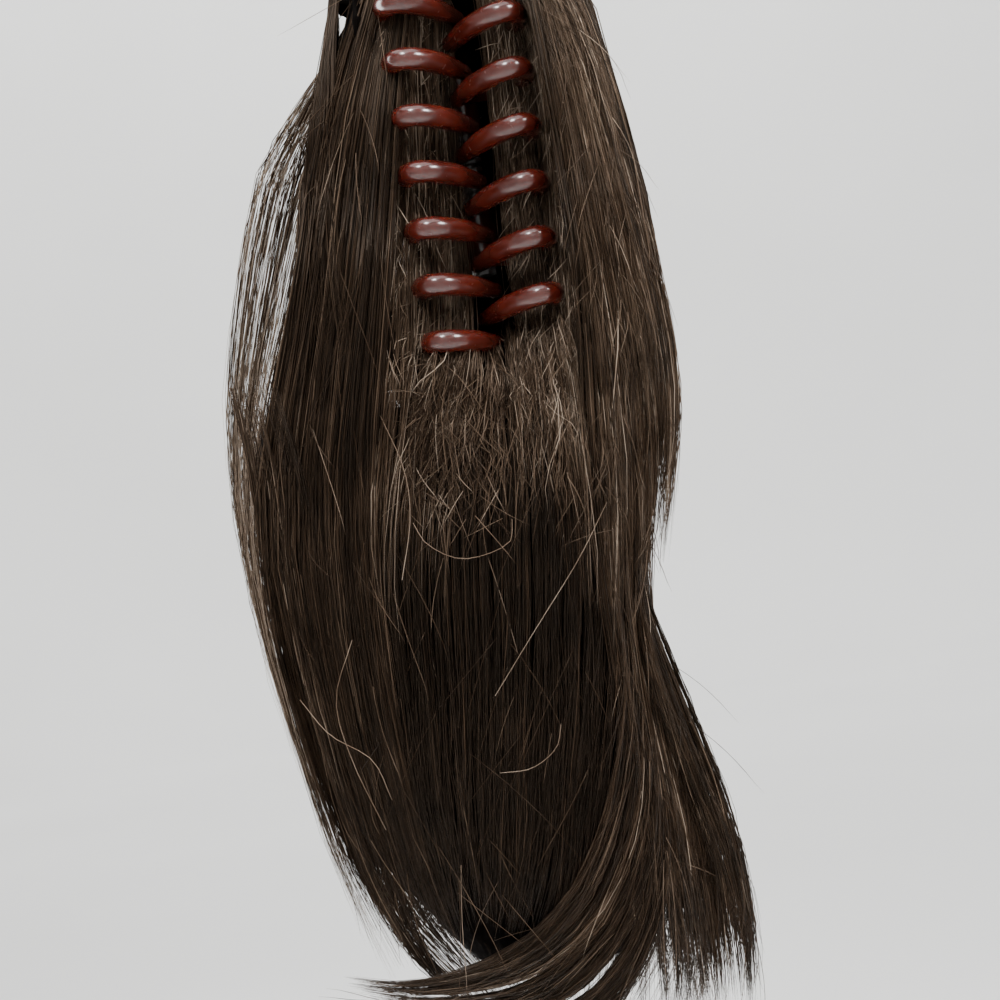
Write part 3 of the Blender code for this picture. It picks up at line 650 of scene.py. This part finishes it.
def packed_hair_material(streaks):
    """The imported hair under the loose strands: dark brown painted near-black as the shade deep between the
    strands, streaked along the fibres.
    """
    made, tree, shader = new_material("packed_hair")
    fibre = add_node(tree, "ShaderNodeGroup", node_tree=streaks)
    fibre.inputs["Fineness"].default_value = 1400.0
    fibre.inputs["Length"].default_value = 28.0
    # Near-black stops: painted shade for the depths between the strands, darker than the hair's own brown.
    stops = ((0.0, (0.0015, 0.001, 0.0008)), (0.6, (0.004, 0.0026, 0.0018)), (1.0, (0.014, 0.009, 0.006)))
    colours = colour_ramp(tree, fibre.outputs["Mask"], stops)
    tree.links.new(colours.outputs["Color"], shader.inputs["Base Color"])
    bump = add_node(
        tree, "ShaderNodeBump",
        {"Height": fibre.outputs["Height"], "Strength": 0.6, "Distance": 0.0002},
    )
    tree.links.new(bump.outputs["Normal"], shader.inputs["Normal"])
    rough = add_node(
        tree, "ShaderNodeMapRange",
        {"Value": fibre.outputs["Mask"], "To Min": 0.8, "To Max": 0.5},
    )
    tree.links.new(rough.outputs["Result"], shader.inputs["Roughness"])
    shader.inputs["Specular IOR Level"].default_value = 0.02
    return made


def plastic_material():
    """Polished translucent mahogany plastic."""
    made, tree, shader = new_material("mahogany_plastic_polished")
    place = add_node(tree, "ShaderNodeTexCoord")
    cloud = add_node(
        tree, "ShaderNodeTexNoise",
        {"Vector": place.outputs["Object"], "Scale": 220.0, "Detail": 3.0},
    )
    stops = ((0.3, (0.046, 0.0056, 0.0030)), (0.7, (0.070, 0.0095, 0.0052)))
    colours = colour_ramp(tree, cloud.outputs["Fac"], stops)
    tree.links.new(colours.outputs["Color"], shader.inputs["Base Color"])
    scuffs = add_node(
        tree, "ShaderNodeTexNoise",
        {"Vector": place.outputs["Object"], "Scale": 900.0, "Detail": 2.0},
    )
    rough = add_node(
        tree, "ShaderNodeMapRange",
        {"Value": scuffs.outputs["Fac"], "To Min": 0.19, "To Max": 0.31},
    )
    tree.links.new(rough.outputs["Result"], shader.inputs["Roughness"])
    shader.inputs["IOR"].default_value = 1.5
    shader.inputs["Subsurface Weight"].default_value = 0.5
    shader.inputs["Subsurface Radius"].default_value = (1.0, 0.2, 0.08)
    shader.inputs["Subsurface Scale"].default_value = 0.002
    shader.inputs["Coat Weight"].default_value = 0.4
    shader.inputs["Coat Roughness"].default_value = 0.13
    return made


def steel_material():
    """Drawn spring steel, faintly streaked."""
    made, tree, shader = new_material("drawn_steel")
    place = add_node(tree, "ShaderNodeTexCoord")
    streak = add_node(
        tree, "ShaderNodeTexNoise",
        {"Vector": place.outputs["Object"], "Scale": 1500.0, "Detail": 4.0},
    )
    colours = colour_ramp(tree, streak.outputs["Fac"], ((0.3, (0.30, 0.29, 0.28)), (0.7, (0.50, 0.49, 0.48))))
    tree.links.new(colours.outputs["Color"], shader.inputs["Base Color"])
    rough = add_node(
        tree, "ShaderNodeMapRange",
        {"Value": streak.outputs["Fac"], "To Min": 0.25, "To Max": 0.5},
    )
    tree.links.new(rough.outputs["Result"], shader.inputs["Roughness"])
    shader.inputs["Metallic"].default_value = 1.0
    return made


def paper_material():
    """The pale studio paper under and behind the piece."""
    made, tree, shader = new_material("pale_paper")
    place = add_node(tree, "ShaderNodeTexCoord")
    cloud = add_node(
        tree, "ShaderNodeTexNoise",
        {"Vector": place.outputs["Object"], "Scale": 3.0, "Detail": 2.0},
    )
    colours = colour_ramp(tree, cloud.outputs["Fac"], ((0.3, (0.80, 0.80, 0.79)), (0.7, (0.84, 0.84, 0.83))))
    tree.links.new(colours.outputs["Color"], shader.inputs["Base Color"])
    shader.inputs["Roughness"].default_value = 0.9
    return made


def dress(obj, material, body, replaced=()):
    """The piece with its finish, riding on its body."""
    obj.data.materials.clear()
    obj.data.materials.append(material)
    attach(obj, body)
    if replaced:
        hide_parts(*replaced)
    return obj


# Mesh tools
def add_object(name, mesh):
    obj = bpy.data.objects.new(name, mesh)
    bpy.context.scene.collection.objects.link(obj)
    return obj


def mesh_object(name, build):
    """A new mesh object whose faces are made by build(bm)."""
    mesh = bpy.data.meshes.new(name)
    bm = bmesh.new()
    build(bm)
    bmesh.ops.recalc_face_normals(bm, faces=bm.faces)
    bm.to_mesh(mesh)
    bm.free()
    return add_object(name, mesh)


def apply_modifiers(obj):
    """The object with its modifiers made real."""
    bpy.context.view_layer.update()
    graph = bpy.context.evaluated_depsgraph_get()
    mesh = bpy.data.meshes.new_from_object(obj.evaluated_get(graph))
    obj.modifiers.clear()
    obj.data = mesh
    return obj


def packed_hair(node, body, material, inset, cuts=()):
    """The node's solid, rounded and drawn in a little, as the hair under the loose strands, dark with painted
    shade.
    """
    obj = add_object(node.replace("_hair", "_packed_hair"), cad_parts[node].data.copy())
    remesh = obj.modifiers.new("Even", "REMESH")
    remesh.mode = "VOXEL"
    remesh.voxel_size = CORE_VOXEL
    smooth = obj.modifiers.new("Round", "SMOOTH")
    smooth.iterations = 6
    smooth.factor = 0.5
    apply_modifiers(obj)
    bm = bmesh.new()
    bm.from_mesh(obj.data)
    bm.normal_update()
    for vertex in bm.verts:
        vertex.co -= vertex.normal * inset
    for vertex in bm.verts:
        below = max(0.0, (TAIL_CORE_TAPER - vertex.co.z) / (TAIL_CORE_TAPER - TAIL_CORE_END))
        near_end = max(0.0, (abs(vertex.co.z) - 22 * MM) / (15 * MM))
        seam = 0.09 * min(near_end, 1.0) if node != "tail_hair" else 0.0
        keep = 1 - 0.42 * min(below, 1.0) ** 1.5 - seam
        vertex.co.x = TAIL_MIDDLE[0] + (vertex.co.x - TAIL_MIDDLE[0]) * keep
        vertex.co.y = TAIL_MIDDLE[1] + (vertex.co.y - TAIL_MIDDLE[1]) * keep
        if node == "back_hair":
            vertex.co.z *= 1.10
        if node == "crown_hair":
            vertex.co.z = 46.5 * MM + (vertex.co.z - 46.5 * MM) * 1.5
    for place, away in cuts:
        cut = bmesh.ops.bisect_plane(
            bm, geom=bm.verts[:] + bm.edges[:] + bm.faces[:], plane_co=place, plane_no=away, clear_outer=True
        )
        edges = [e for e in cut["geom_cut"] if isinstance(e, bmesh.types.BMEdge)]
        bmesh.ops.holes_fill(bm, edges=edges)
    bm.to_mesh(obj.data)
    bm.free()
    obj.data.shade_smooth()
    return dress(obj, material, body, (node,))


# Claw clip
def shell(name, rows, thickness):
    """An open sheet through rows of points, thickened evenly on both sides, with rounded edges."""

    def build(bm):
        made = [[bm.verts.new(p) for p in row] for row in rows]
        for low, high in zip(made, made[1:]):
            for i in range(len(low) - 1):
                bm.faces.new((low[i], low[i + 1], high[i + 1], high[i]))

    obj = mesh_object(name, build)
    solid = obj.modifiers.new("Thickness", "SOLIDIFY")
    solid.thickness = thickness
    solid.offset = 0.0
    solid.use_even_offset = True
    edge = obj.modifiers.new("Edge", "BEVEL")
    edge.width = 0.5 * MM
    edge.segments = 3
    edge.limit_method = "ANGLE"
    edge.angle_limit = math.radians(50)
    return apply_modifiers(obj)


def bar(name, places, radii, sides=20):
    """A round bar along places, closed at both ends."""
    places = [Vector(p) for p in places]

    def build(bm):
        rings = []
        for k, (place, radius) in enumerate(zip(places, radii)):
            run = (places[min(k + 1, len(places) - 1)] - places[max(k - 1, 0)]).normalized()
            first = run.cross(Vector((0, 0, 1))).normalized()
            second = run.cross(first)
            turns = [2 * math.pi * i / sides for i in range(sides)]
            rings.append(
                [bm.verts.new(place + (first * math.cos(a) + second * math.sin(a)) * radius) for a in turns]
            )
        for low, high in zip(rings, rings[1:]):
            for i in range(sides):
                j = (i + 1) % sides
                bm.faces.new((low[i], low[j], high[j], high[i]))
        bm.faces.new(rings[0])
        bm.faces.new(rings[-1])

    return mesh_object(name, build)


def rod(name, radius, low, high, sides=40):
    """A round bar along the hinge axis between two heights."""

    def build(bm):
        turn = Matrix.Translation((0, HINGE_BACK, (low + high) / 2))
        bmesh.ops.create_cone(
            bm, cap_ends=True, segments=sides, radius1=radius, radius2=radius, depth=high - low, matrix=turn
        )

    return mesh_object(name, build)


def tab(name, low, high):
    def build(bm):
        bmesh.ops.create_cube(bm, size=1.0)
        size = Vector(high) - Vector(low)
        for vertex in bm.verts:
            vertex.co = Vector(low) + Vector([(c + 0.5) * s for c, s in zip(vertex.co, size)])

    return mesh_object(name, build)


def combine(obj, others, operation):
    """The object joined to or cut by the others, which are used up."""
    for other in others:
        step = obj.modifiers.new("Combine", "BOOLEAN")
        step.operation = operation
        step.solver = "EXACT"
        step.object = other
        obj = apply_modifiers(obj)
        bpy.data.objects.remove(other, do_unlink=True)
    return obj


def tooth(side, height, drop):
    """One hooked tooth: forward from the plate, round the bend and back in to its rounded tip."""
    points, radii = [], []
    for out, front, fall, thick in TOOTH_ROWS:
        points.append((side * out * BEND_OUT, -front * BEND_FRONT, height + drop * (1 - fall)))
        radii.append(thick * TOOTH_THICKNESS / 2)
    tip = Vector((-side * TIP_PAST_CENTRE, -TIP_FRONT, height))
    points.append(tuple(tip))
    radii.append(TOOTH_TIP_THICKNESS / 2)
    shares = np.linspace(0, 1, 40)
    places = curve_through(points, shares)
    own = np.concatenate([[0], np.cumsum(np.linalg.norm(np.diff(np.array(points), axis=0), axis=1))])
    widths = np.interp(shares, own / own[-1], radii)
    course = Vector(places[-1] - places[-2]).normalized()
    ends, end_radii = [], []
    for turn in (20, 40, 58, 74, 86):
        ends.append(np.array(tip + course * widths[-1] * math.sin(math.radians(turn))))
        end_radii.append(widths[-1] * math.cos(math.radians(turn)))
    return bar("tooth", list(places) + ends, list(widths) + end_radii)


def jaw(side, count, drop):
    """One whole jaw: curved plate, finger lever, two hinge eyes and its hooked teeth."""
    back_edge = HINGE_BACK - 0.25 * KNUCKLE_RADIUS
    comb = -0.3 * BEND_FRONT
    rows = np.array(PLATE_ROWS)
    shares = np.linspace(0, 1, 13)
    fine = curve_through(rows, shares)
    sheet = []
    for out, along, length in fine:
        y = back_edge + (comb - back_edge) * along
        half = length * JAW_LENGTH / 2
        sheet.append([Vector((side * out * PLATE_OUT, y, half * k / 8)) for k in range(-8, 9)])
    body = shell("plate", sheet, PLATE_THICKNESS)
    start = Vector((side * 0.5 * PLATE_OUT, back_edge, 0))
    away = Vector((side * math.sin(LEVER_SPLAY), math.cos(LEVER_SPLAY), 0))
    sheet = []
    for t in np.linspace(0, 1, 13):
        bow = Vector((side * 0.08 * LEVER_LENGTH * math.sin(math.pi * t), 0, 0))
        half = LEVER_WIDTH / 2 * (1.0 - 0.35 * t**4)
        middle = start + away * LEVER_LENGTH * t + bow
        sheet.append([middle + Vector((0, 0, half * j / 6)) for j in range(-6, 7)])
    pieces = [shell("lever", sheet, PLATE_THICKNESS)]
    first = SPRING_LENGTH / 2 + CLEARANCE + (KNUCKLE_LENGTH + CLEARANCE if side > 0 else 0)
    inner, outer = side * 0.35 * KNUCKLE_RADIUS, side * 0.52 * PLATE_OUT
    for low in (first, -first - KNUCKLE_LENGTH):
        high = low + KNUCKLE_LENGTH
        pieces.append(rod("eye", KNUCKLE_RADIUS, low, high))
        front, rear = HINGE_BACK - 0.75 * KNUCKLE_RADIUS, HINGE_BACK + 0.25 * KNUCKLE_RADIUS
        pieces.append(tab("tab", (min(inner, outer), front, low), (max(inner, outer), rear, high)))
    for i in range(count):
        pieces.append(tooth(side, (i - (count - 1) / 2) * TOOTH_PITCH, drop))
    body = combine(body, pieces, "UNION")
    reach = SPRING_LENGTH + 4 * KNUCKLE_LENGTH
    body = combine(body, [rod("bore", PIN_RADIUS + CLEARANCE, -reach, reach)], "DIFFERENCE")
    body.data.shade_smooth()
    body.data.set_sharp_from_angle(angle=math.radians(48))
    return body


# Sheets round the sides and the back
def wrap_sheet(surface, angles, heights, rise):
    """A sheet on the hair's outside: angles in degrees (0 at the back, 90 at the left) by heights."""
    reach = np.full((len(angles), len(heights)), np.nan)
    aways = [Vector((-math.sin(math.radians(a)), math.cos(math.radians(a)), 0)) for a in angles]
    for i, away in enumerate(aways):
        for j, height in enumerate(heights):
            middle = Vector((*WRAP_MIDDLE, height))
            hit = surface.ray_cast(middle + away * 120 * MM, -away)[0]
            if hit and (hit - middle).dot(away) > 4 * MM:
                reach[i, j] = (hit - middle).dot(away)
    for row in reach.T:
        found = ~np.isnan(row)
        row[:] = np.interp(np.arange(len(row)), np.flatnonzero(found), row[found]) if found.any() else 6 * MM
    for _ in range(3):
        reach[:, 1:-1] = 0.25 * reach[:, :-2] + 0.5 * reach[:, 1:-1] + 0.25 * reach[:, 2:]
        reach[1:-1] = 0.25 * reach[:-2] + 0.5 * reach[1:-1] + 0.25 * reach[2:]
    sheet = np.zeros((len(angles), len(heights), 3))
    for i, away in enumerate(aways):
        for j, height in enumerate(heights):
            sheet[i, j] = Vector((*WRAP_MIDDLE, height)) + away * (reach[i, j] + rise)
    return sheet


def left_wall_sheet():
    """The hair between the left jaw's cover and the back layer, hanging behind the see-through curtain."""
    guides = []
    for y in np.linspace(0, 38, 12):
        rows = (
            (-12, 4 + 0.8 * y, 46), (-14, 2 + 0.9 * y, 36), (-18, y, 24), (-23, y, 13), (-28, y, 2),
            (-31, y, -12), (-32, y, -30), (-36, y, -46), (-39, 0.9 * y, -66), (-37, 0.85 * y, -95),
            (-32, 0.75 * y, -125),
        )
        guides.append(curve_through(np.array(rows) * MM, np.linspace(0, 1, 40)))
    return np.stack(guides)


def area_light(name, place, aim, size, power, colour=(1, 1, 1)):
    data = bpy.data.lights.new(name, "AREA")
    data.shape = "RECTANGLE"
    data.size, data.size_y = size
    data.energy = power
    data.color = colour
    obj = bpy.data.objects.new(name, data)
    bpy.context.scene.collection.objects.link(obj)
    obj.location = place
    obj.rotation_euler = (Vector(aim) - Vector(place)).to_track_quat("-Z", "Y").to_euler()


def studio():
    """Soft lights above and beside the piece, and pale paper behind it."""
    aim = (0, 0, -0.05)
    area_light("key_left", (-0.10, -0.42, 0.42), aim, (0.12, 0.12), 3.2)
    area_light("key_right", (0.42, -0.26, 0.30), aim, (0.14, 0.14), 3.2)
    area_light("ceiling", (0.0, -0.10, 0.75), aim, (1.1, 0.7), 7.0)
    area_light("left_window", (-0.50, 0.12, 0.02), aim, (0.25, 0.6), 6.0)
    area_light("paper_light", (0.0, 1.2, 1.6), (0, 2.4, 0.1), (1.6, 0.4), 45.0)
    area_light("front_paper_light", (0.0, -1.2, 1.6), (0, -2.4, 0.1), (1.6, 0.4), 30.0)
    world = bpy.data.worlds.new("studio")
    bpy.context.scene.world = world
    world.use_nodes = True
    world.node_tree.nodes["Background"].inputs["Color"].default_value = (1, 1, 1, 1)
    world.node_tree.nodes["Background"].inputs["Strength"].default_value = 0.22
    profile = [(0.0, FLOOR), (0.8, FLOOR), (PAPER_AWAY - 0.5, FLOOR)]
    profile += [
        (PAPER_AWAY - 0.5 + 0.5 * math.sin(a), FLOOR + 0.5 - 0.5 * math.cos(a))
        for a in np.linspace(0.2, 1.57, 8)
    ]
    profile += [(PAPER_AWAY, 1.2), (PAPER_AWAY, 1.8)]

    def sweep(bm):
        turns = [2 * math.pi * k / 64 for k in range(64)]
        middle = bm.verts.new((0, 0, FLOOR))
        rings = [[bm.verts.new((r * math.cos(a), r * math.sin(a), z)) for a in turns] for r, z in profile[1:]]
        for k in range(64):
            j = (k + 1) % 64
            bm.faces.new((middle, rings[0][k], rings[0][j]))
            for low, high in zip(rings, rings[1:]):
                bm.faces.new((low[k], high[k], high[j], low[j]))

    paper = mesh_object("backdrop", sweep)
    paper.data.shade_smooth()
    paper.data.materials.append(paper_material())


def set_camera():
    data = bpy.data.cameras.new("camera")
    data.sensor_width = SENSOR_MM
    data.sensor_fit = "HORIZONTAL"
    data.lens = SENSOR_MM * CAMERA_AWAY / (PIXEL * PHOTO_SIZE)
    data.clip_start = 0.01
    obj = bpy.data.objects.new("camera", data)
    bpy.context.scene.collection.objects.link(obj)
    c, s = math.cos(CAMERA_ROLL), math.sin(CAMERA_ROLL)
    right, up, back = Vector((c, 0, -s)), Vector((s, 0, c)), Vector((0, -1, 0))
    turn = Matrix((right, up, back)).transposed().to_4x4()
    obj.matrix_world = Matrix.Translation(CAMERA_PLACE) @ turn
    bpy.context.scene.camera = obj


def photo_strands(brown, crown, front):
    """The bundles that the photograph shows: in the tail, and across the jaws with their frizz."""
    seed = 11
    for row in TAIL_BUNDLES:
        bundle = dict(zip(BUNDLE_COLUMNS, row))
        name, guides, lift = bundle.pop("name"), bundle.pop("guides"), bundle.pop("lift")
        seed += 1
        if name.startswith("veil"):
            sheet = from_crown(guide_sheet(guides), crown)
        else:
            sheet = guide_sheet(guides, front, lift)
        rings = TUFT_RINGS if "tuft" in name else RINGS
        strands = grow(sheet, seed, rings=rings, **bundle)
        dress(strand_mesh(name, *strands), brown, "hair")
        if name in FRIZZ:
            frizz = stray(sheet, seed + 100, **dict(zip(FRIZZ_COLUMNS, FRIZZ[name])))
            dress(strand_mesh(name + "_frizz", *frizz), brown, "hair")
    for row in JAW_BUNDLES:
        bundle = dict(zip(BUNDLE_COLUMNS, row))
        name, guides, lift = bundle.pop("name"), bundle.pop("guides"), bundle.pop("lift")
        seed += 1
        surface = None if "inner" in name else front
        laid = guide_sheet(guides, surface, lift)
        places, radii, tones = grow(from_crown(laid, crown), seed, rings=JAW_STRAND_RINGS, **bundle)
        jaw_body = "left_half" if name.startswith("left") else "right_half"
        across_jaw(name, jaw_body, places, radii, tones, brown, "dark_brown_hair")
        places, radii, tones = stray(laid, seed + 100, **dict(zip(FRIZZ_COLUMNS, FRIZZ[name])))
        on_jaw = places[:, 0, 2] > -34 * MM
        for part, body, chosen in (("frizz", jaw_body, on_jaw), ("tail_frizz", "hair", ~on_jaw)):
            if part == "tail_frizz" and "inner" in name:
                continue
            obj = strand_mesh(f"{name}_{part}", places[chosen], radii[chosen], tones[chosen])
            dress(obj, brown, body)
    steps = np.linspace(0, 1, 13)
    hairs = np.stack([curve_through([from_photo(*p) for p in row], steps) for row in LOOSE_HAIRS])
    radii = np.full(hairs.shape[:2], LOOSE_HAIR_RADIUS)
    loose = strand_mesh("loose_hairs", hairs, radii, np.full(len(hairs), LOOSE_HAIR_LIT_TONE))
    dress(loose, brown, "hair")


def round_strands(brown, crown):
    """The hair round the back and the sides, finished plainly from the crown to the tips."""
    around = hair_surface("crown_hair", "back_hair", "right_cover_hair", "tail_hair")
    wrapped = wrap_sheet(around, AROUND_ANGLES, AROUND_HEIGHTS, 0.9 * MM)
    left_limit = np.interp(wrapped[..., 2], *(np.array(row) * MM for row in BACK_LEFT_LIMIT))
    wrapped[..., 0] = np.maximum(wrapped[..., 0], left_limit)
    sheet = from_crown(wrapped, crown)
    strands = grow(sheet[BACK_FROM:], *ROUND_BUNDLES["back_strands"])
    dress(strand_mesh("back_strands", *strands), brown, "hair")
    strands = grow(sheet[:RIGHT_SIDE_TO], *ROUND_BUNDLES["right_side"])
    across_jaw("right_side", "right_half", *strands, brown, "outer_hair")
    strands = grow(from_crown(left_wall_sheet(), crown), *ROUND_BUNDLES["left_wall"])
    across_jaw("left_wall", "left_half", *strands, brown, "outer_hair")
    tail = hair_surface("tail_hair", "back_hair")
    sheet = wrap_sheet(tail, LEFT_TAIL_ANGLES, LEFT_TAIL_HEIGHTS, 0.6 * MM)
    strands = grow(sheet, *ROUND_BUNDLES["left_tail_strands"])
    dress(strand_mesh("left_tail_strands", *strands), brown, "hair")
    cover = hair_surface("crown_hair", "left_cover_hair")
    sheet = from_crown(wrap_sheet(cover, LEFT_SIDE_ANGLES, LEFT_SIDE_HEIGHTS, 0.8 * MM), crown)
    strands = grow(sheet, *ROUND_BUNDLES["left_side"])
    across_jaw("left_side", "left_half", *strands, brown, "dark_brown_hair")


def main():
    brown = strand_material(
        "dark_brown_strands",
        ((0.0, (0.0020, 0.0011, 0.0007)), (0.3, (0.0090, 0.0050, 0.0030)), (0.6, (0.034, 0.020, 0.012)),
         (0.85, (0.115, 0.078, 0.053)), (1.0, (0.30, 0.235, 0.18))),
        0.34, 0.28,
    )
    packed = packed_hair_material(fibre_streaks_group())
    plastic = plastic_material()
    steel = steel_material()
    sheen_cut = ((TAIL_SHEEN_EDGE, 0, 0), (-1, 0, 0))
    tip_cut = ((0, -10 * MM, TAIL_CORE_END), (0, 0.35, -0.94))
    veil_cut = ((VEIL_EDGE, 0, 0), (-1, 0, 0))
    packed_hair("tail_hair", "hair", packed, CORE_INSET, (sheen_cut, tip_cut))
    packed_hair("crown_hair", "hair", packed, CROWN_INSET)
    packed_hair("back_hair", "hair", packed, BACK_INSET, (veil_cut,))
    packed_hair("left_cover_hair", "left_half", packed, CORE_INSET)
    packed_hair("right_cover_hair", "right_half", packed, CORE_INSET)
    for name in ("hinge_pin", "spring_coil"):
        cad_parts[name].data.materials.clear()
        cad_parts[name].data.materials.append(steel)
    left_jaw, right_jaw = jaw(-1, LEFT_TEETH, LEFT_TIP_DROP), jaw(1, RIGHT_TEETH, RIGHT_TIP_DROP)
    left_jaw.name, right_jaw.name = "left_claw", "right_claw"
    dress(left_jaw, plastic, "left_half", ("left_jaw",))
    dress(right_jaw, plastic, "right_half", ("right_jaw",))

    crown = hair_surface("crown_hair")
    front = hair_surface("crown_hair", "left_cover_hair", "right_cover_hair", "tail_hair")
    photo_strands(brown, crown, front)
    round_strands(brown, crown)
    studio()
    set_camera()


main()
